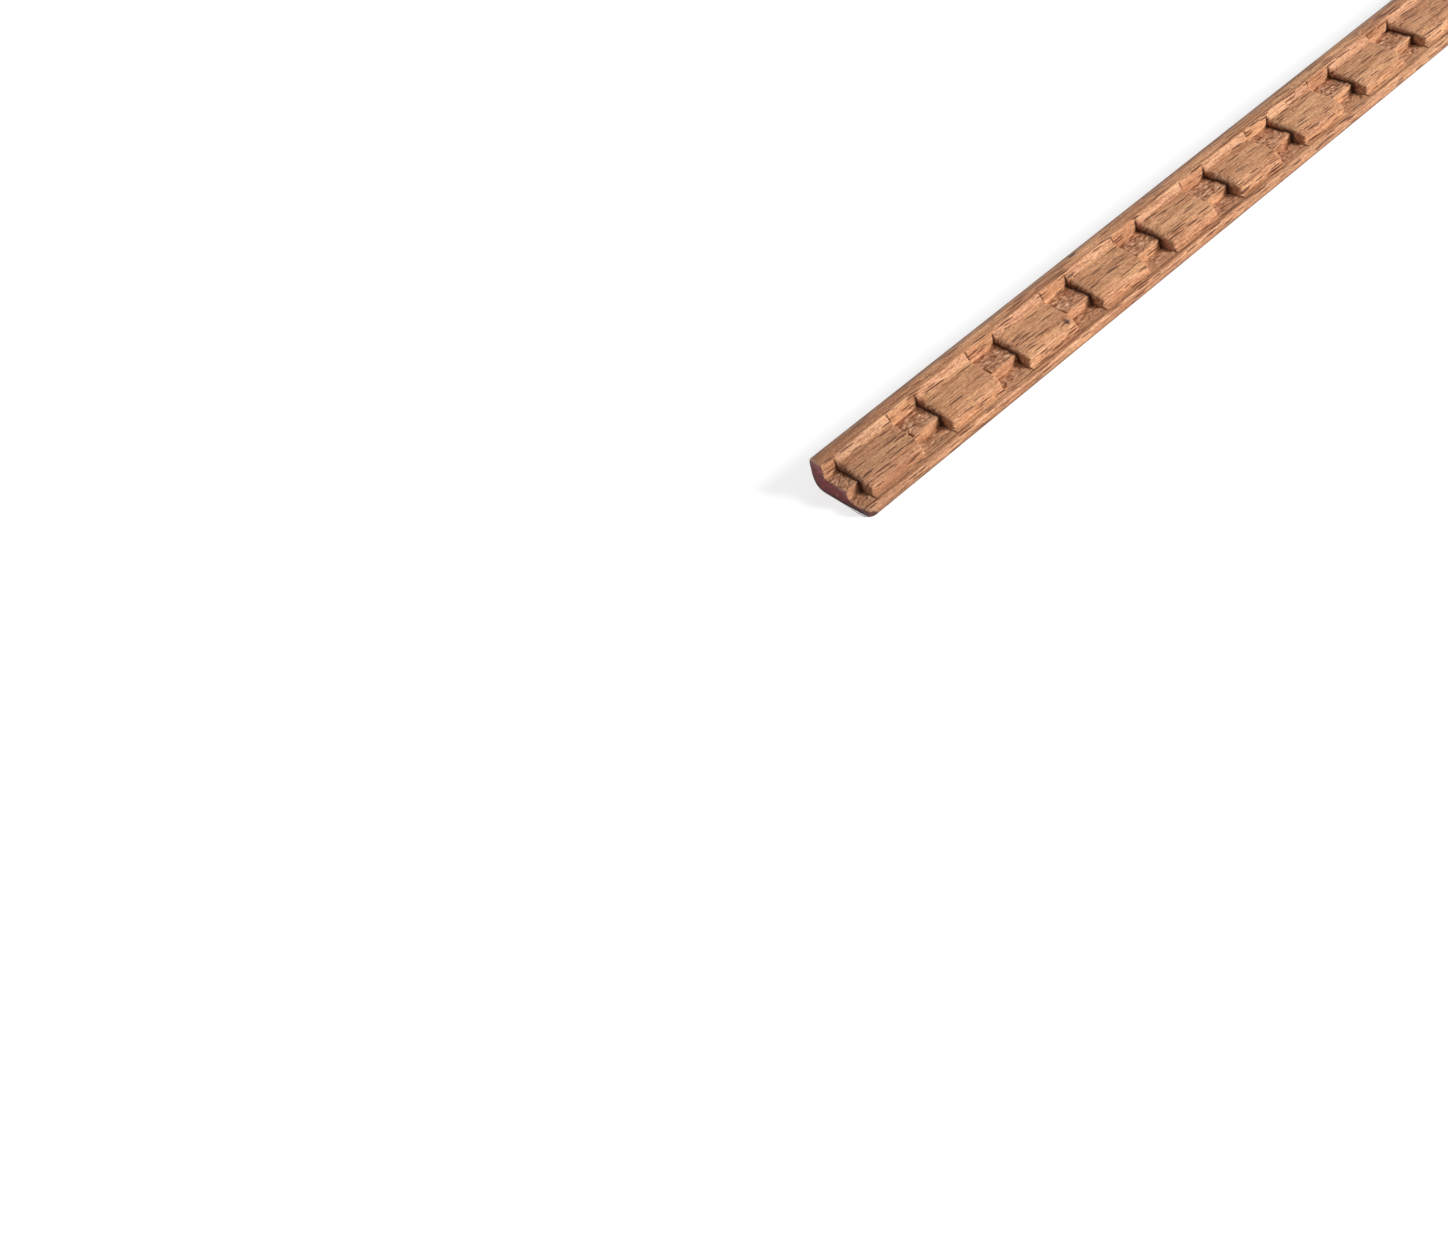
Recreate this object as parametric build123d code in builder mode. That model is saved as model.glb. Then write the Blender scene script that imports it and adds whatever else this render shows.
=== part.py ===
"""Dentil trim strip: one length of beech stock, moulded along its length and notched across.

The strip lies on its flat back. X runs along it, +Y is the side of the tall rail,
Z is up. The origin is on the back, half way along and half way across.
All sizes are in millimetres.
"""

import os

from build123d import *

# Stock size
LENGTH = 1000.0
WIDTH = 20.0
THICKNESS = 8.4

# The row of blocks: one block and one gap make a pitch
PITCH = 25.0
BLOCK_LENGTH = 16.2
GAP_LENGTH = PITCH - BLOCK_LENGTH
GAP_COUNT = round(LENGTH / PITCH) + 1

# Distances across the strip, measured from the outer face of the rail
RAIL_CREST = 5.85
GAP_WALL = 6.2
BLOCK_START = 7.2
STEP_CREST = 13.35
STEP_FOOT = 13.5
BLOCK_CREST = 15.0
BLOCK_EDGE = 17.2
BLOCK_FOOT = 17.55
LIP_EDGE = 18.8

# Heights above the back
BLOCK_HIGH = 6.5
BLOCK_MIDDLE = 5.4
BLOCK_LOW = 4.4
STEP_TOP = 4.7
LIP_TOP = 2.85
LEDGE_TOP = 2.7
GAP_FLOOR = 2.4

# Roundings of the moulded section
RAIL_OUTER_RADIUS = 3.6
RAIL_CREST_RADIUS = 0.3
BACK_RADIUS = 4.2
BLOCK_CREST_RADIUS = 3.0
BLOCK_EDGE_RADIUS = 0.5
LIP_RADIUS = 1.15
TOE_RADIUS = 0.6

RAIL_SIDE = WIDTH / 2
LIP_SIDE = -WIDTH / 2


def across(distance):
    """Y of a line that lies this far in from the outer face of the rail."""
    return RAIL_SIDE - distance


os.makedirs("parts", exist_ok=True)

# What is cut away between two blocks: down to a step beside the rail,
# and down to a lower floor beside the lip
with BuildPart() as gap_cut:
    with BuildSketch(Plane.YZ):
        with BuildLine():
            Polyline(
                (across(GAP_WALL), THICKNESS),
                (across(GAP_WALL), STEP_TOP),
                (across(STEP_CREST), STEP_TOP),
                (across(STEP_FOOT), GAP_FLOOR),
                (across(LIP_EDGE), GAP_FLOOR),
                (across(LIP_EDGE), THICKNESS),
                close=True,
            )
        make_face()
    extrude(amount=GAP_LENGTH / 2, both=True)

with BuildPart() as trim_strip:
    # The section that runs the whole length, with the block row still in one piece
    with BuildSketch(Plane.YZ) as section:
        with BuildLine():
            Polyline(
                (RAIL_SIDE, 0),
                (RAIL_SIDE, THICKNESS),
                (across(RAIL_CREST), THICKNESS),
                (across(BLOCK_START), BLOCK_HIGH),
                (across(BLOCK_CREST), BLOCK_MIDDLE),
                (across(BLOCK_EDGE), BLOCK_LOW),
                (across(BLOCK_FOOT), LEDGE_TOP),
                (across(LIP_EDGE), LEDGE_TOP),
                (across(LIP_EDGE), LIP_TOP),
                (LIP_SIDE, LIP_TOP),
                (LIP_SIDE, 0),
                close=True,
            )
        make_face()
        rail_outer = section.vertices().group_by(Axis.X)[-1].sort_by(Axis.Y)
        lip_outer = section.vertices().group_by(Axis.X)[0].sort_by(Axis.Y)
        rail_crest = section.vertices().sort_by_distance((across(RAIL_CREST), THICKNESS))[0]
        block_crest = section.vertices().sort_by_distance((across(BLOCK_CREST), BLOCK_MIDDLE))[0]
        block_edge = section.vertices().sort_by_distance((across(BLOCK_EDGE), BLOCK_LOW))[0]
        fillet(rail_outer[1], radius=RAIL_OUTER_RADIUS)
        fillet(rail_outer[0], radius=BACK_RADIUS)
        fillet(lip_outer[1], radius=LIP_RADIUS)
        fillet(lip_outer[0], radius=TOE_RADIUS)
        fillet(rail_crest, radius=RAIL_CREST_RADIUS)
        fillet(block_crest, radius=BLOCK_CREST_RADIUS)
        fillet(block_edge, radius=BLOCK_EDGE_RADIUS)
    extrude(amount=LENGTH / 2, both=True)

    # The stock is sawn through the middle of a gap, so each end carries half of one
    with GridLocations(PITCH, WIDTH, GAP_COUNT, 1):
        add(gap_cut.part, mode=Mode.SUBTRACT)

trim_strip.part.label = "trim_strip"
export_step(trim_strip.part, "parts/trim_strip.step")
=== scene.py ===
"""The dressed trim strip: bare beech with open grain, torn grain in the gaps, and a painted sawn end.

Lengths in this file are millimetres in the strip's own frame, and are turned into
metres where a mesh or a material takes them. Distances across, called u, run from the
outer face of the rail, and heights, called z, from the back. A phase is a place along
the strip counted from the near end of its block.
"""

import bpy
import numpy as np
from mathutils import Matrix, Vector


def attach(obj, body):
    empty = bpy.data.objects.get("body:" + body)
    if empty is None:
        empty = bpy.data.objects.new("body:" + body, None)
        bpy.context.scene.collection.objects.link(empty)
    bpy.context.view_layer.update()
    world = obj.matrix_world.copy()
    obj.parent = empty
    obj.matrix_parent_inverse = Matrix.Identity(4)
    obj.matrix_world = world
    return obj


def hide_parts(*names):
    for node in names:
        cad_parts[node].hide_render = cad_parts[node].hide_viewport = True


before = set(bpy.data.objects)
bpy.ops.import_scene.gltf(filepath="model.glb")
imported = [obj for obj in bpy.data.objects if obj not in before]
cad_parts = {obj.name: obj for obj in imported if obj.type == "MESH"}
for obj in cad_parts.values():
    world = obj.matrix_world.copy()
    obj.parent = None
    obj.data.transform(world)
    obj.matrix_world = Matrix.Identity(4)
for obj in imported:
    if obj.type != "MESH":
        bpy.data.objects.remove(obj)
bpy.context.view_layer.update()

MM = 0.001

# Stock size and the row of blocks
LENGTH = 1000.0
NEAR_END = -LENGTH / 2
WIDTH = 20.0
PITCH = 25.0
BLOCK_LENGTH = 16.2
GAP_LENGTH = PITCH - BLOCK_LENGTH
BLOCK_COUNT = round(LENGTH / PITCH)

# Distances across
RAIL_BREAK = 3.7
RAIL_CREST = 5.85
GAP_WALL = 6.2
BLOCK_START = 7.2
STEP_CREST = 13.35
STEP_FOOT = 13.5
BLOCK_CREST = 15.0
BLOCK_EDGE = 17.2
BLOCK_FOOT = 17.55
GROOVE = 18.75
LIP_EDGE = 18.8

# Heights
THICKNESS = 8.4
CREST_TOP = 8.12
WALL_TOP = 7.92
BLOCK_HIGH = 6.5
BLOCK_MIDDLE = 5.4
BLOCK_LOW = 4.4
STEP_TOP = 4.7
LEDGE_TOP = 2.68
LIP_TOP = 2.52
GAP_FLOOR = 2.4
GROOVE_FLOOR = 2.43

# Roundings of the outer face of the rail, above and below
RAIL_RADIUS = 3.6
BACK_RADIUS = 4.2

# The near end is sawn a little short, and every cut runs a little out of square
SHORT = 0.63
SKEW = 0.085
SQUARE_AT = 13.0

# A slit is torn out beside the far end of each block
SLIT_BEYOND = 0.86
SLIT_REACH = 0.25
SLIT_DEPTH = 1.3


def arc(before, corner, after, radius, count):
    """Points of a rounding: the circle of this radius that touches both sides of the
    corner, swept from the side before it to the side after it."""
    here = np.array(corner, float)
    one = np.array(before, float) - here
    two = np.array(after, float) - here
    one /= np.linalg.norm(one)
    two /= np.linalg.norm(two)
    half = np.arccos(np.clip(one @ two, -1, 1)) / 2
    middle = here + (one + two) / np.linalg.norm(one + two) * radius / np.sin(half)
    reach = radius / np.tan(half)
    start = here + one * reach - middle
    stop = here + two * reach - middle
    turn = np.linspace(0, 1, count)[:, None]
    sweep = np.pi - 2 * half
    return middle + (np.sin((1 - turn) * sweep) * start + np.sin(turn * sweep) * stop) / np.sin(sweep)


def outline(corners):
    """A closed section. Each corner is (across, height, radius, points of its rounding,
    points on the side that follows it)."""
    rounds = []
    for place, (u, z, radius, count, _) in enumerate(corners):
        before = corners[place - 1][:2]
        after = corners[(place + 1) % len(corners)][:2]
        rounds.append(arc(before, (u, z), after, radius, count) if radius else np.array([[u, z]], float))
    pieces = []
    for place, corner in enumerate(corners):
        after = rounds[(place + 1) % len(corners)][0]
        share = np.linspace(0, 1, corner[4] + 2)[1:-1, None]
        pieces += [rounds[place], rounds[place][-1] * (1 - share) + after * share]
    return np.concatenate(pieces)


# The block's section and the gap's section share the lip, the rail and the back,
# and have as many points as each other
LIP = [
    (WIDTH, 0.0, 0.3, 3, 1),
    (WIDTH, LIP_TOP, 0.9, 5, 0),
    (LIP_EDGE, LIP_TOP, 0, 1, 0),
]
RAIL = [
    (RAIL_CREST, CREST_TOP, 0.45, 4, 2),
    (RAIL_BREAK, THICKNESS, 0, 1, 0),
    (0.0, THICKNESS, RAIL_RADIUS, 7, 0),
    (0.0, 0.0, BACK_RADIUS, 6, 1),
    (16.4, 0.0, 0, 1, 0),
    (18.2, 0.0, 0, 1, 0),
    (19.1, 0.0, 0, 1, 0),
]
BLOCK = outline(LIP + [
    (GROOVE, GROOVE_FLOOR, 0, 1, 2),
    (BLOCK_FOOT, LEDGE_TOP, 0, 1, 2),
    (BLOCK_EDGE, BLOCK_LOW, 0.5, 5, 1),
    (BLOCK_CREST, BLOCK_MIDDLE, 3.0, 5, 12),
    (BLOCK_START, BLOCK_HIGH, 1.1, 5, 3),
] + RAIL)
GAP = outline(LIP + [
    (GROOVE, GAP_FLOOR, 0, 1, 6),
    (STEP_FOOT, GAP_FLOOR, 0, 1, 4),
    (STEP_CREST, STEP_TOP, 0.14, 4, 13),
    (GAP_WALL, STEP_TOP, 0.15, 4, 3),
    (GAP_WALL, WALL_TOP, 0, 1, 0),
] + RAIL)


def waves(x, y, seed, size, count=16):
    """Smooth random relief, mostly between minus one and one: a sum of plane waves whose
    lengths lie round the given size, each with its own direction and start."""
    rng = np.random.default_rng(seed)
    heading = rng.uniform(0, 2 * np.pi, count)
    pace = 2 * np.pi / (size * rng.uniform(0.6, 1.8, count))
    phase = rng.uniform(0, 2 * np.pi, count)
    total = np.zeros(np.broadcast(x, y).shape)
    for one, k, p in zip(heading, pace, phase):
        total = total + np.sin(k * (np.cos(one) * x + np.sin(one) * y) + p)
    return total / np.sqrt(count)


def bell(distance, reach):
    """One at no distance, falling off on both sides as a bell curve of this reach."""
    return np.exp(-(distance / reach) ** 2)


def stations():
    """Where the sections stand along the strip, and the phase of each one. They stand
    close together where a block begins and ends."""
    near = [-0.5, -0.25, -0.04, 0.0, 0.03, 0.14, 0.3, 0.55, 0.9, 1.35, 1.85, 2.4]
    body = list(np.linspace(5.2, BLOCK_LENGTH - 2.2, 3))
    past_far_end = (-0.7, -0.3, -0.1, -0.02, 0.02, 0.1, 0.25, 0.4, 0.55, 0.7, 0.88, 1.06, 1.3)
    far = [BLOCK_LENGTH + x for x in past_far_end]
    gap = [BLOCK_LENGTH + x for x in np.linspace(2.1, GAP_LENGTH - 1.2, 6)]
    one = np.array(near + body + far + gap)
    start = NEAR_END + GAP_LENGTH / 2 + PITCH * np.arange(BLOCK_COUNT)
    x = (start[:, None] + one).ravel()
    phase = np.tile(one, BLOCK_COUNT)
    keep = x < LENGTH / 2 - 0.2
    lead = np.array([0, 0.12, 0.9, 1.7, 2.5, 3.3])
    x = np.concatenate([lead + NEAR_END, x[keep], [LENGTH / 2 - 0.12, LENGTH / 2]])
    phase = np.concatenate([lead - GAP_LENGTH / 2, phase[keep], [PITCH, PITCH]])
    return x, phase


def near_half(phase):
    """Whether a place is nearer to its block's near end than to its far end."""
    return phase < BLOCK_LENGTH / 2


def block_share(phase, u):
    """How much of a section is block: nought in a gap, one in a block. The top of the
    near end is worn round over a longer way than the flank, and the far end hardly."""
    way = np.interp(u, [STEP_FOOT, 16.5], [2.3, 0.8])
    near = np.interp(phase / way, [-0.02, 0, 0.013, 0.06, 0.13, 0.24, 0.4, 0.6, 0.8, 1.0],
                     [0, 0.08, 0.36, 0.51, 0.635, 0.755, 0.865, 0.94, 0.98, 1])
    far = np.interp(phase - BLOCK_LENGTH, [-0.7, -0.3, -0.1, -0.02, 0.02, 0.1],
                    [1, 0.965, 0.89, 0.72, 0.08, 0])
    return np.where(near_half(phase), near, far)


def torn_grain(x, u):
    """Torn grain in a gap: short waves and waves drawn out along the strip, on the whole
    a little below the cut, and nearly smooth beside the lip."""
    short = 0.08 * waves(x, u, 5, 1.4)
    drawn_out = 0.08 * waves(x * 0.4, u, 6, 1.7)
    return (short + drawn_out - 0.09) * np.interp(u, [16.5, 18], [1, 0.2])


def torn_slit(x, phase, u):
    """Share of a slit's depth: a bell curve along the strip, times a ramp at either end
    of the slit across. It begins at another place in each pitch."""
    pitch = (x - NEAR_END) // PITCH
    begins = np.clip((u - 11 - 0.7 * np.sin(pitch * 5)) / 0.5, 0, 1)
    ends = np.clip((13.25 - u) / 0.25, 0, 1)
    return bell(phase - BLOCK_LENGTH - SLIT_BEYOND, SLIT_REACH) * (begins * ends)


def foot_shadow(x, phase, u, z, share):
    """Painted shadow in the corner at the foot of a block's near end: a bell curve of ragged
    reach out into the gap and a slow fading along the block, weaker up the block's end
    and beside the rail's top and the lip."""
    ragged = 0.4 + 0.2 * waves(x * 0.1, u, 21, 0.9)
    foot = bell(np.minimum(phase, 0), ragged) * np.exp(-(np.maximum(phase, 0) / 0.9))
    foot = foot * np.interp(u, [6.0, 6.2, 12.5, 13.6, 14.6, 16.8, 18.6], [0, 0.9, 0.9, 1, 0.6, 0.3, 0])
    foot = foot * np.clip((8.0 - z) / 0.7, 0, 1)
    return foot * np.interp(share, [0.0, 0.12, 0.4, 0.6, 0.8, 1], [1, 0.88, 0.5, 0.42, 0.34, 0.18])


def dark_saw_lines(phase, u):
    """The thin dark lines that the saw left on the ledge, at both ends of a block: a bell
    curve along the strip, faded out at both sides of the ledge."""
    kerf = bell(phase, 0.15) + bell(phase - BLOCK_LENGTH - 0.1, 0.15)
    return 0.75 * kerf * np.interp(u, [BLOCK_EDGE, 17.5, 18.6, 19.0], [0, 1, 1, 0])


def dark_wall_line(phase, z):
    """The thin line of painted shade on the rail's wall beside a block's far end: a bell curve whose
    middle leans away from the block as it goes down, faded out above the step."""
    return bell(phase - BLOCK_LENGTH - 0.12 - 0.22 * (7.9 - z), 0.22) * np.interp(z, [4.9, 5.6], [0, 1])


def dark_far_edge(phase, u):
    """The faint dark edge along the top of a block's far end: straight runs up and down
    along the strip, times straight runs up and down across it."""
    edge = np.interp(phase - BLOCK_LENGTH, [-0.35, -0.1, 0.3, 0.5], [0, 0.3, 0.36, 0])
    return edge * np.interp(u, [6.8, BLOCK_START, 13.2, 14.2], [0, 1, 1, 0])


def darkness(x, phase, u, z, share, moved):
    """How dark the surface is drawn: the most of the four marks round a block, each kept
    to its own place."""
    return np.maximum.reduce([
        np.where(moved & near_half(phase), foot_shadow(x, phase, u, z, share), 0),
        np.where((u > 17) & (z > 1.5), dark_saw_lines(phase, u), 0),
        np.where(moved & (u < 6.5) & (u > 6.1), dark_wall_line(phase, z), 0),
        np.where(moved, dark_far_edge(phase, u), 0),
    ])


def end_wear(x, u, z):
    """How far the near end is set back: sawn short, worn more at the lip's corner and at
    the rail, less in between, and fading out along the strip."""
    fade = np.clip(1 - (x - NEAR_END) / 3.3, 0, 1)
    worn = np.interp(u, [13.5, 16, 17.6, 18.4, 19.16, 19.5, 19.77, 20],
                     [0, -0.3, -0.3, -0.05, 0.45, 0.85, 1.4, 2.4])
    worn = worn + 0.95 * np.clip((5 - u) / 4, 0, 1) * np.clip(z / 4, 0.1, 1)
    return fade * (SHORT + worn)


def set_along(x, u, z, moved):
    """The final place along the strip: each cut wanders a little and slants in step with
    the distance across, and the near end is worn. The far end stays square, and nothing
    passes the end of the stock."""
    inside = np.clip((LENGTH / 2 - np.abs(x)) / 3.0, 0, 1)
    wander = 0.10 * waves(x * 0.05, u, 9, 3.0) + 0.09 * waves(x * 0.03, u * 0, 10, 2.5)
    slant = SKEW * (SQUARE_AT - u)
    along = x + inside * (slant + np.where(moved, wander, 0)) + end_wear(x, u, z)
    return np.maximum(along + slant * (1 - inside) * (along < 0), NEAR_END)


def roughly_cut(u, share, moved):
    """How much of the rough cut surface shows: in full in a gap, not at all on a block,
    the rail or the lip, and little on the steep side of the step. Less of it shows towards
    the step's edge and the lip, so the inner parts of the step and the floor are drawn
    darker than their outer edges, as painted shade and as dirt."""
    gap = np.where(moved, np.clip((0.95 - share) / 0.3, 0, 1), 0)
    ledge = np.clip((18.7 - u) / 0.5, 0, 1)
    return gap * ledge * np.interp(u, [6.4, 7.2, 11.8, 13.2, 13.3, 13.5, 13.6, 16.4, 17.6],
                                   [0, 1, 0.9, 0.25, 0.1, 0.1, 0.9, 0.6, 0.1])


def skin(rows, columns):
    """Faces of a tube of closed rows of points: a quad between each two neighbours, and
    one face that closes each end."""
    i = np.arange(rows - 1)[:, None] * columns
    j = np.arange(columns)[None]
    k = (j + 1) % columns
    quads = np.stack([i + j, i + columns + j, i + columns + k, i + k], axis=-1)
    faces = quads.reshape(-1, 4).tolist()
    faces.append(list(range(columns)))
    faces.append(list(range(rows * columns - 1, (rows - 1) * columns - 1, -1)))
    return faces


def strip_surface():
    """The strip. At each station the section is the gap's section plus the block share
    times the way from it to the block's section. Relief is then added: torn grain and
    slits where the cutter went, a slight unevenness of the block tops, the wander and
    slant of each cut, and the worn near end."""
    x, phase = stations()
    phase = phase[:, None]
    share = block_share(phase, BLOCK[None, :, 0])
    way = BLOCK - GAP
    moved = (np.abs(way).sum(1) > 0.04)[None]
    u = GAP[None, :, 0] + share * way[None, :, 0]
    z = GAP[None, :, 1] + share * way[None, :, 1]
    x = np.repeat(x[:, None], u.shape[1], axis=1)
    floor = moved & (share < 0.3) & (z < 4.9) & (u > 6.3)
    z = z + np.where(floor, torn_grain(x, u), 0)
    z = z - np.where(moved & (share > 0.9), 0.03 + 0.03 * waves(x * 0.3, u, 12, 3.5), 0)
    slit = np.where(floor, torn_slit(x, phase, u), 0)
    z = z - SLIT_DEPTH * slit
    # the slits are also drawn dark, as painted shade in their depth
    dark = np.maximum(slit, darkness(x, phase, u, z, share, moved))
    cut = roughly_cut(u, share, moved)
    vertices = np.stack([set_along(x, u, z, moved), WIDTH / 2 - u, z], axis=-1).reshape(-1, 3)
    return vertices * MM, skin(*u.shape), {"cut": cut.ravel(), "dark": dark.ravel()}


def make_piece(name, vertices, faces, fields):
    """A mesh object at the origin, with one number per vertex for each named field."""
    mesh = bpy.data.meshes.new(name)
    mesh.from_pydata(vertices.tolist(), [], faces)
    for field, values in fields.items():
        mesh.attributes.new(field, "FLOAT", "POINT").data.foreach_set("value", values.astype(np.float32))
    mesh.update()
    made = bpy.data.objects.new(name, mesh)
    bpy.context.scene.collection.objects.link(made)
    return made


def srgb(red, green, blue):
    """A colour as the eye reads it, 0 to 255, as the linear values that a shader takes."""
    return tuple(((c / 255 + 0.055) / 1.055) ** 2.4 for c in (red, green, blue))


# Bare beech
TONE_LOW = srgb(182, 125, 86)
TONE_MIDDLE = srgb(212, 156, 114)
TONE_HIGH = srgb(236, 180, 136)
TONE_RED = srgb(192, 132, 97)
SPECK_DARK = srgb(148, 94, 62)
SPECK_LIGHT = srgb(242, 192, 148)
GRAIN_LINE = srgb(146, 90, 58)
FLECK = srgb(84, 46, 29)
STREAK = srgb(132, 84, 58)

# Torn grain in the gaps
TORN_DEEP = srgb(88, 48, 32)
TORN_LOW = srgb(176, 120, 88)
TORN_MIDDLE = srgb(216, 164, 128)
TORN_HIGH = srgb(248, 208, 174)
CRUMB = srgb(112, 64, 44)
TORN_RED = srgb(176, 112, 84)

# Wear, dirt and painted shade
WEATHERED = srgb(184, 142, 118)
LIP_BOTTOM_DARK = srgb(104, 84, 74)
LIP_LINE = srgb(110, 64, 42)
# painted shade in the corners and slits round the blocks, and the colour of the saw lines too
SHADE_AND_SAW_LINES = srgb(62, 35, 22)
NEAR_END_TONE = srgb(112, 78, 62)
STAIN = srgb(52, 42, 38)

# Sawn ends
END_GRAIN_DARK = srgb(140, 92, 66)
END_GRAIN_MIDDLE = srgb(196, 144, 108)
END_GRAIN_LIGHT = srgb(226, 178, 140)
PAINT_DARK = srgb(92, 46, 56)
PAINT_DEEP = srgb(122, 46, 50)
PAINT_RED = srgb(154, 54, 54)
PAINT_THIN = srgb(214, 116, 104)
END_RIM_DARK = srgb(70, 48, 42)

# Four sets of flecks: cell size, how far the cells are drawn out along the strip, half a
# mark's width in cells, turn, shift, about what share of the cells has one, how strong
FLECK_SETS = (
    (0.76, 14.0, 0.28, 0.06, (0.1, 0.2, 0.3), 0.90, 1.0),
    (0.70, 12.0, 0.26, 0.07, (0.4, 0.1, 0.8), 0.60, 0.9),
    (0.50, 60.0, 0.20, 0.01, (0.7, 0.5, 0.9), 0.30, 0.7),
    (0.40, 8.0, 0.28, 0.07, (0.3, 0.8, 0.6), 0.45, 0.5),
)

# The strip is drawn darker towards its near end: plain from here on, and as dark as it gets from there
# back to the near end
DARKENING_FROM = -466
DARKEST_TO = -492

# Two small stains, one on the third block's far end and one on the rail: place along the
# strip, y, half its length, half its width
STAINS = ((-431.4, -5.8, 0.75, 1.15), (-413.7, 6.95, 1.7, 0.65))


class Nodes:
    """Short ways to add nodes to one tree. A value given to a node is a number, a colour
    or vector, or another node's socket."""

    def __init__(self, tree):
        self.tree = tree

    def put(self, value, socket):
        if isinstance(value, (int, float)):
            socket.default_value = value
        elif isinstance(value, tuple):
            socket.default_value = (*value, 1) if socket.type == "RGBA" else value
        else:
            self.tree.links.new(value, socket)

    def add(self, kind, **inputs):
        made = self.tree.nodes.new(kind)
        for name, value in inputs.items():
            self.put(value, made.inputs[name])
        return made

    def math(self, operation, *values):
        made = self.tree.nodes.new("ShaderNodeMath")
        made.operation = operation
        for place, value in enumerate(values):
            self.put(value, made.inputs[place])
        return made.outputs[0]

    def times(self, one, two):
        return self.math("MULTIPLY", one, two)

    def plus(self, one, two):
        return self.math("ADD", one, two)

    def less(self, one, two):
        return self.math("SUBTRACT", one, two)

    def most(self, one, two):
        return self.math("MAXIMUM", one, two)

    def least(self, one, two):
        return self.math("MINIMUM", one, two)

    def blend(self, share, one, two):
        """The first colour where the share is nought, and the second where it is one."""
        made = self.tree.nodes.new("ShaderNodeMix")
        made.data_type = "RGBA"
        self.put(share, made.inputs[0])
        self.put(one, made.inputs[6])
        self.put(two, made.inputs[7])
        return made.outputs[2]

    def place(self, source, stretch=(1, 1, 1), turn=0.0, shift=(0, 0, 0)):
        """Coordinates turned about the vertical, then drawn out by the stretch on each axis."""
        turned = self.add("ShaderNodeMapping", Vector=source, Rotation=(0.0, 0.0, turn))
        return self.add("ShaderNodeMapping", Vector=turned.outputs[0], Location=shift,
                        Scale=tuple(1 / s for s in stretch)).outputs[0]

    def noise(self, vector, size, detail=3.0, rough=0.5):
        """Noise whose features are about size millimetres across."""
        return self.add("ShaderNodeTexNoise", Vector=vector, Scale=1 / (size * MM),
                        Detail=float(detail), Roughness=rough).outputs[0]

    def cells(self, vector, size):
        """Cell noise with cells of size millimetres: how far from the cell's point, in
        cells, and a random tint for each cell."""
        made = self.add("ShaderNodeTexVoronoi", Vector=vector, Scale=1 / (size * MM))
        return made.outputs["Distance"], made.outputs["Color"]

    def step(self, value, low, high, bottom=0.0, top=1.0):
        """A soft step from the bottom, where the value is low, to the top, where it is high."""
        made = self.tree.nodes.new("ShaderNodeMapRange")
        made.interpolation_type = "SMOOTHSTEP"
        given = {"Value": value, "From Min": low, "From Max": high, "To Min": bottom, "To Max": top}
        for name, one in given.items():
            self.put(one, made.inputs[name])
        return made.outputs[0]

    def ramp(self, value, stops):
        """Colours along a value, each stop being (value, colour)."""
        made = self.tree.nodes.new("ShaderNodeValToRGB")
        marks = made.color_ramp.elements
        while len(marks) < len(stops):
            marks.new(0.5)
        for mark, (at, colour) in zip(marks, stops):
            mark.position = at
            mark.color = (*colour, 1)
        self.put(value, made.inputs["Fac"])
        return made.outputs["Color"]

    def split(self, vector):
        """The x, y and z of a vector."""
        return self.add("ShaderNodeSeparateXYZ", Vector=vector).outputs

    def field(self, name):
        """One of the mesh's own fields."""
        made = self.tree.nodes.new("ShaderNodeAttribute")
        made.attribute_name = name
        return made.outputs["Fac"]


def shaken(n, place):
    """Coordinates shaken a little by noise, so that the edge of a fleck isn't smooth."""
    shake = n.add("ShaderNodeTexNoise", Vector=n.place(place, (5, 1, 1)), Scale=900.0, Detail=2.0)
    bend = n.add("ShaderNodeVectorMath", Vector=shake.outputs["Color"])
    bend.operation = "SCALE"
    bend.inputs["Scale"].default_value = 0.16 * MM
    loose = n.add("ShaderNodeVectorMath", Vector=place)
    n.put(bend.outputs[0], loose.inputs[1])
    return loose.outputs[0]


def flecks(n, place):
    """Short dark flecks: cells drawn out along the strip, of which some are chosen, each
    with a long thin mark in its middle."""
    marks = None
    for size, stretch, wide, turn, shift, odds, strength in FLECK_SETS:
        near, tint = n.cells(n.place(place, (stretch, 1, 1), turn, shift), size)
        chosen = n.step(tint, odds - 0.15, odds + 0.03, strength, 0)
        mark = n.times(n.step(near, wide, wide * 0.7), chosen)
        marks = mark if marks is None else n.most(marks, mark)
    return marks


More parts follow.
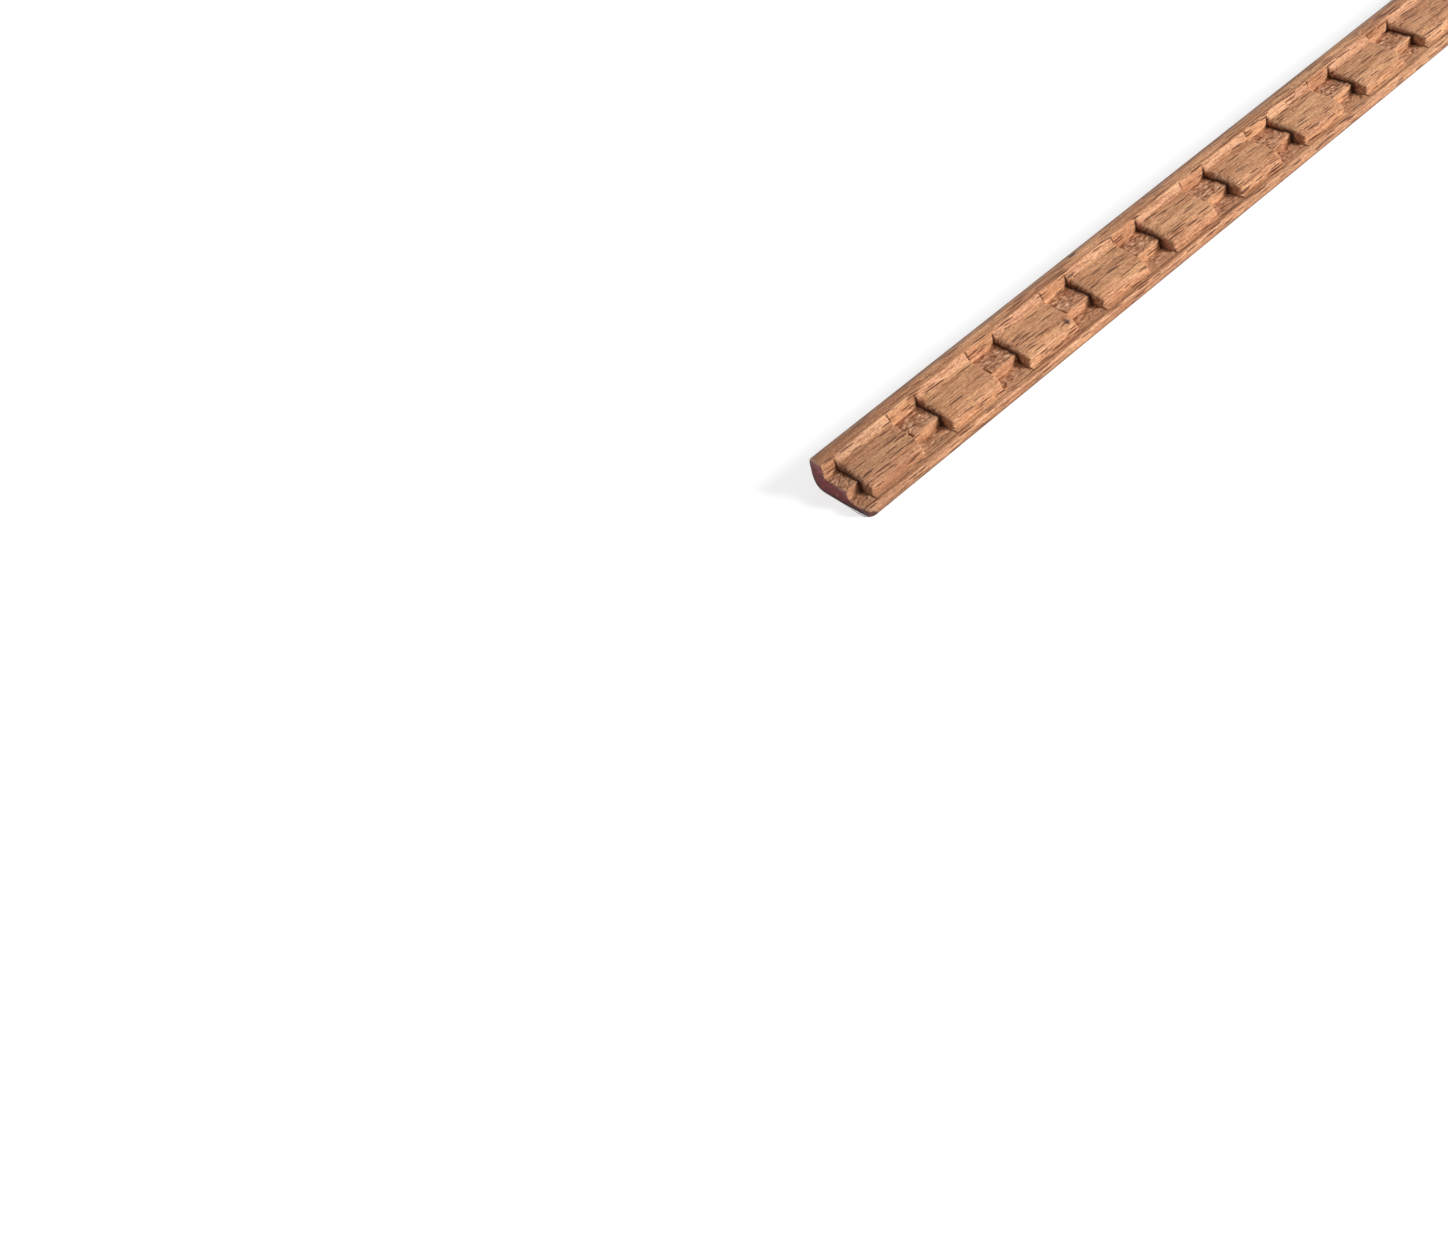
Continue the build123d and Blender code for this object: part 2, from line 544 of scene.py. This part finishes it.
def beech_grain():
    """Node group: bare beech. Broad tone bands, specks, fine grain lines that run far along
    the strip, and short dark flecks. Puts out the colour and a height for a bump."""
    group = bpy.data.node_groups.new("beech_grain", "ShaderNodeTree")
    sockets = group.interface.new_socket
    sockets("Vector", in_out="INPUT", socket_type="NodeSocketVector")
    sockets("Color", in_out="OUTPUT", socket_type="NodeSocketColor")
    sockets("Height", in_out="OUTPUT", socket_type="NodeSocketFloat")
    n = Nodes(group)
    place = group.nodes.new("NodeGroupInput").outputs["Vector"]
    out = group.nodes.new("NodeGroupOutput")
    patch = n.noise(n.place(place, (6, 1, 1), shift=(2.0, 0.3, 0.1)), 5, 2)
    broad = n.noise(n.place(place, (12, 1, 1)), 1.6, 3, 0.6)
    colour = n.ramp(broad, [(0.32, TONE_LOW), (0.5, TONE_MIDDLE), (0.68, TONE_HIGH)])
    colour = n.blend(n.step(patch, 0.42, 0.66, 0, 0.6), colour, TONE_RED)
    speck = n.noise(n.place(place, (3.5, 1, 1), 0.05, (0.9, 0.1, 0.5)), 0.22, 2, 0.6)
    colour = n.blend(n.step(speck, 0.5, 0.64, 0, 0.58), colour, SPECK_DARK)
    colour = n.blend(n.step(speck, 0.48, 0.36, 0, 0.5), colour, SPECK_LIGHT)
    fine = n.noise(n.place(place, (24, 1, 1), 0.02, (0.4, 0.2, 0.7)), 0.38, 3, 0.6)
    lines = n.step(fine, 0.53, 0.62)
    colour = n.blend(n.times(lines, 0.56), colour, GRAIN_LINE)
    marks = flecks(n, shaken(n, place))
    colour = n.blend(n.times(marks, 0.9), colour, FLECK)
    n.put(colour, out.inputs["Color"])
    n.put(n.less(n.times(broad, 0.5), n.plus(n.times(lines, 0.4), marks)), out.inputs["Height"])
    return group


def start_material(name):
    """A material, ways to add nodes to it, its shader and the object's own coordinates."""
    made = bpy.data.materials.new(name)
    made.use_nodes = True
    tree = made.node_tree
    place = tree.nodes.new("ShaderNodeTexCoord").outputs["Object"]
    return made, Nodes(tree), tree.nodes["Principled BSDF"], place


def torn_colour(n, place, fibre, crumb):
    """The rough surface of a gap: pale and dark fibres, dark crumbs and reddish patches."""
    torn = n.ramp(fibre, [(0.38, TORN_DEEP), (0.45, TORN_LOW), (0.55, TORN_MIDDLE), (0.64, TORN_HIGH)])
    torn = n.blend(n.step(crumb, 0.55, 0.64, 0, 0.7), torn, CRUMB)
    red = n.noise(n.place(place, (2, 1, 1), 0.0, (0.5, 0.5, 0.1)), 2.5, 2)
    return n.blend(n.step(red, 0.5, 0.7, 0, 0.5), torn, TORN_RED)


def worn_and_shaded_colour(n, place, colour):
    """Wear, dirt, painted shade and a darkening towards the near end, laid over the bare wood, one after
    the other.
    """
    x, y, z = n.split(place)
    # the outer half of the rail is handled and weathered
    worn = n.noise(n.place(place, (9, 1, 1), 0.0, (0.3, 0.9, 0.2)), 1.5, 4, 0.65)
    rail = n.times(n.step(y, 5.0 * MM, 7.5 * MM), n.step(z, 6.0 * MM, 7.5 * MM))
    colour = n.blend(n.times(rail, n.step(worn, 0.42, 0.6, 0.0, 0.75)), colour, WEATHERED)
    # the rail and the lip show long dark streaks
    sides = n.most(n.step(y, 3.9 * MM, 4.6 * MM), n.step(y, -8.3 * MM, -8.8 * MM))
    drawn = n.noise(n.place(place, (70, 1, 1), 0.0, (0.2, 0.7, 0.9)), 0.42, 3, 0.6)
    colour = n.blend(n.times(sides, n.step(drawn, 0.5, 0.58, 0, 0.6)), colour, STREAK)
    # the bottom of the lip is drawn darker
    low = n.times(n.step(z, 0.8 * MM, 0.3 * MM), n.step(y, -9.2 * MM, -9.6 * MM))
    colour = n.blend(n.times(low, 0.65), colour, LIP_BOTTOM_DARK)
    # the line where the lip begins, broken along its length
    off = n.math("ABSOLUTE", n.less(y, (WIDTH / 2 - LIP_EDGE) * MM))
    broken = n.step(n.noise(n.place(place, (8, 1, 1), 0.0, (0.1, 0.6, 0.4)), 1.6, 2), 0.46, 0.56)
    line = n.times(n.step(off, 0.22 * MM, 0.08 * MM), broken)
    colour = n.blend(n.times(line, 0.6), colour, LIP_LINE)
    # painted shade in the corners and slits round the blocks, and the saw lines
    colour = n.blend(n.step(n.field("dark"), 0.1, 0.8, 0, 0.86), colour, SHADE_AND_SAW_LINES)
    # the strip is drawn darker towards its near end
    colour = n.blend(n.step(x, DARKENING_FROM * MM, DARKEST_TO * MM, 0, 0.26), colour, NEAR_END_TONE)
    # the stains are on the upper side only
    upper = n.step(z, 2 * MM, 3 * MM)
    for at_x, at_y, long, wide in STAINS:
        centred = n.add("ShaderNodeMapping", Vector=place, Location=(-at_x / long, -at_y / wide, 0.0),
                        Scale=(1 / (long * MM), 1 / (wide * MM), 0.0))
        spot = n.add("ShaderNodeVectorMath", Vector=centred.outputs[0])
        spot.operation = "LENGTH"
        stain = n.times(n.step(spot.outputs["Value"], 1.0, 0.45, 0, 0.8), upper)
        colour = n.blend(stain, colour, STAIN)
    return colour


def bare_beech():
    """Bare beech: smooth where it was moulded, rough and darker where the gaps were cut."""
    made, n, shader, place = start_material("beech_bare")
    grain = made.node_tree.nodes.new("ShaderNodeGroup")
    grain.node_tree = beech_grain()
    n.put(place, grain.inputs["Vector"])
    cut = n.field("cut")
    fibre = n.noise(n.place(place, (2.2, 1, 1), 0.3, (0.2, 0.1, 0.5)), 0.8, 4, 0.72)
    crumb = n.noise(n.place(place, (1.5, 1, 1), -0.4, (0.9, 0.3, 0.2)), 0.6, 3, 0.65)
    colour = n.blend(n.times(cut, 0.88), grain.outputs["Color"], torn_colour(n, place, fibre, crumb))
    n.put(worn_and_shaded_colour(n, place, colour), shader.inputs["Base Color"])
    n.put(n.step(cut, 0, 1, 0.52, 0.8), shader.inputs["Roughness"])
    shader.inputs["Specular IOR Level"].default_value = 0.2
    rough = n.times(n.plus(fibre, crumb), n.times(cut, 2.0))
    relief = n.add("ShaderNodeBump", Strength=0.8, Distance=0.14 * MM,
                   Height=n.plus(grain.outputs["Height"], rough))
    n.put(relief.outputs[0], shader.inputs["Normal"])
    return made


def below_top(n, u, z):
    """How far, in millimetres, a place on the end lies below the stepped top edge: the
    least of its ways to the rail's top, to the step and to the floor."""
    step = n.most(n.less(GAP_WALL, u), n.less(STEP_TOP, z))
    floor = n.most(n.less(13.4, u), n.less(2.45, z))
    return n.least(n.less(8.2, z), n.least(step, floor))


def inside_back(n, u, z):
    """How far, in millimetres, a place on the end lies inside the back and its round
    corner: the corner's radius less the way from the corner's centre."""
    side = n.most(n.less(BACK_RADIUS, u), 0.0)
    down = n.most(n.less(BACK_RADIUS, z), 0.0)
    return n.less(BACK_RADIUS, n.math("SQRT", n.plus(n.times(side, side), n.times(down, down))))


def sawn_end():
    """The sawn ends: bare end grain, and on the near one dark red paint brushed on thinly,
    with bare wood left along its top edge, and drawn darker brown along its bottom rim and by the lip."""
    made, n, shader, place = start_material("sawn_end")
    x, y, z = n.split(place)
    u = n.less(WIDTH / 2, n.math("DIVIDE", y, MM))
    z = n.math("DIVIDE", z, MM)
    pores = n.noise(n.place(place, (1, 1, 1), 0.0, (0.1, 0.7, 0.2)), 0.22, 3, 0.6)
    rings = n.noise(n.place(place, (1, 6, 1), 0.0, (0.6, 0.1, 0.4)), 0.6, 2, 0.5)
    wood = n.ramp(n.times(n.plus(pores, rings), 0.5),
                  [(0.36, END_GRAIN_DARK), (0.5, END_GRAIN_MIDDLE), (0.62, END_GRAIN_LIGHT)])
    smear = n.noise(n.place(place, (1, 1, 1), 0.0, (0.3, 0.3, 0.3)), 1.0, 4, 0.65)
    edge = n.noise(n.place(place, (1, 1, 1), 0.0, (0.8, 0.2, 0.6)), 0.7, 3, 0.6)
    paint = n.ramp(smear, [(0.34, PAINT_DARK), (0.45, PAINT_DEEP), (0.57, PAINT_RED), (0.7, PAINT_THIN)])
    # only the near end is painted, and the lip's top corner stays bare
    near_end = n.step(x, -0.3, -0.2, 1, 0)
    off_lip = n.step(n.plus(u, n.times(z, 0.9)), 20.8, 20.2)
    bare_rim = n.plus(n.step(edge, 0.38, 0.62, -0.05, 0.85), n.step(u, 5.0, 3.0, 0, 0.8))
    covered = n.step(n.less(below_top(n, u, z), bare_rim), -0.06, 0.06)
    colour = n.blend(n.times(n.times(covered, near_end), off_lip), wood, paint)
    dark_rim = n.step(n.plus(inside_back(n, u, z), n.times(smear, 0.9)), 1.5, 0.6)
    dark_rim = n.most(dark_rim, n.step(u, 16.8, 18.6))
    colour = n.blend(n.times(n.times(dark_rim, off_lip), n.times(near_end, 0.8)), colour, END_RIM_DARK)
    n.put(colour, shader.inputs["Base Color"])
    shader.inputs["Roughness"].default_value = 0.6
    relief = n.add("ShaderNodeBump", Strength=0.6, Distance=0.1 * MM, Height=n.plus(smear, pores))
    n.put(relief.outputs[0], shader.inputs["Normal"])
    return made


strip = make_piece("dressed_strip", *strip_surface())
strip.data.materials.append(bare_beech())
strip.data.materials.append(sawn_end())
finishes = np.zeros(len(strip.data.polygons), dtype=np.int32)
finishes[-2:] = 1
strip.data.polygons.foreach_set("material_index", finishes)
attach(strip, "root")
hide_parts("trim_strip")


def seen_directly(n):
    """One for rays from the camera, or seen in gloss or glass, and nought for the rest."""
    path = n.tree.nodes.new("ShaderNodeLightPath").outputs
    return n.most(path["Is Camera Ray"], n.most(path["Is Glossy Ray"], path["Is Transmission Ray"]))


def plain_floor():
    """A flat white floor, six metres from its middle to each side, that keeps the strip's
    soft shadow."""
    side = 6.0
    corners = [(-side, -side, 0), (side, -side, 0), (side, side, 0), (-side, side, 0)]
    mesh = bpy.data.meshes.new("floor")
    mesh.from_pydata(corners, [], [(0, 1, 2, 3)])
    made = bpy.data.objects.new("floor", mesh)
    bpy.context.scene.collection.objects.link(made)
    white = bpy.data.materials.new("floor_white")
    white.use_nodes = True
    n = Nodes(white.node_tree)
    shader = white.node_tree.nodes["Principled BSDF"]
    shader.inputs["Base Color"].default_value = (0.6, 0.6, 0.6, 1)
    shader.inputs["Roughness"].default_value = 1.0
    shader.inputs["Specular IOR Level"].default_value = 0.0
    shader.inputs["Emission Color"].default_value = (1, 1, 1, 1)
    n.put(n.times(seen_directly(n), 0.7), shader.inputs["Emission Strength"])
    mesh.materials.append(white)
    return made


# How strongly the sky lights the strip
SKY = 0.29


def light_and_world():
    """One soft lamp from the lip side and a little from the far end, and an even sky that
    is white where it is seen directly."""
    lamp = bpy.data.lights.new("key", "SUN")
    lamp.energy = 3.8
    lamp.angle = 0.4
    key = bpy.data.objects.new("key", lamp)
    key.rotation_mode = "QUATERNION"
    key.rotation_quaternion = Vector((0.50, -0.77, 0.38)).to_track_quat("Z", "Y")
    bpy.context.scene.collection.objects.link(key)
    world = bpy.data.worlds.new("studio")
    bpy.context.scene.world = world
    world.use_nodes = True
    n = Nodes(world.node_tree)
    sky = world.node_tree.nodes["Background"]
    sky.inputs["Color"].default_value = (1, 1, 1, 1)
    n.put(n.plus(SKY, n.times(seen_directly(n), 1 - SKY)), sky.inputs["Strength"])


CAMERA_PLACE = (-0.6607, -0.23985, 0.22147)
CAMERA_RIGHT = (0.72474, -0.63384, -0.27019)
CAMERA_UP = (0.5926, 0.37332, 0.71376)
CAMERA_BACK = (-0.35154, -0.6774, 0.64618)
SENSOR_WIDTH = 36
FRAME_WIDTH = 1448
FOCAL_PIXELS = 1700


def make_camera():
    """The camera where the photograph was taken from: its axes are the columns of a turn."""
    lens = bpy.data.cameras.new("camera")
    lens.sensor_width = SENSOR_WIDTH
    lens.lens = FOCAL_PIXELS / FRAME_WIDTH * SENSOR_WIDTH
    lens.clip_start = 0.01
    made = bpy.data.objects.new("camera", lens)
    made.matrix_world = Matrix([
        (CAMERA_RIGHT[i], CAMERA_UP[i], CAMERA_BACK[i], CAMERA_PLACE[i]) for i in range(3)
    ] + [(0, 0, 0, 1)])
    bpy.context.scene.collection.objects.link(made)
    bpy.context.scene.camera = made


plain_floor()
light_and_world()
make_camera()
bpy.context.scene.view_settings.view_transform = "Standard"
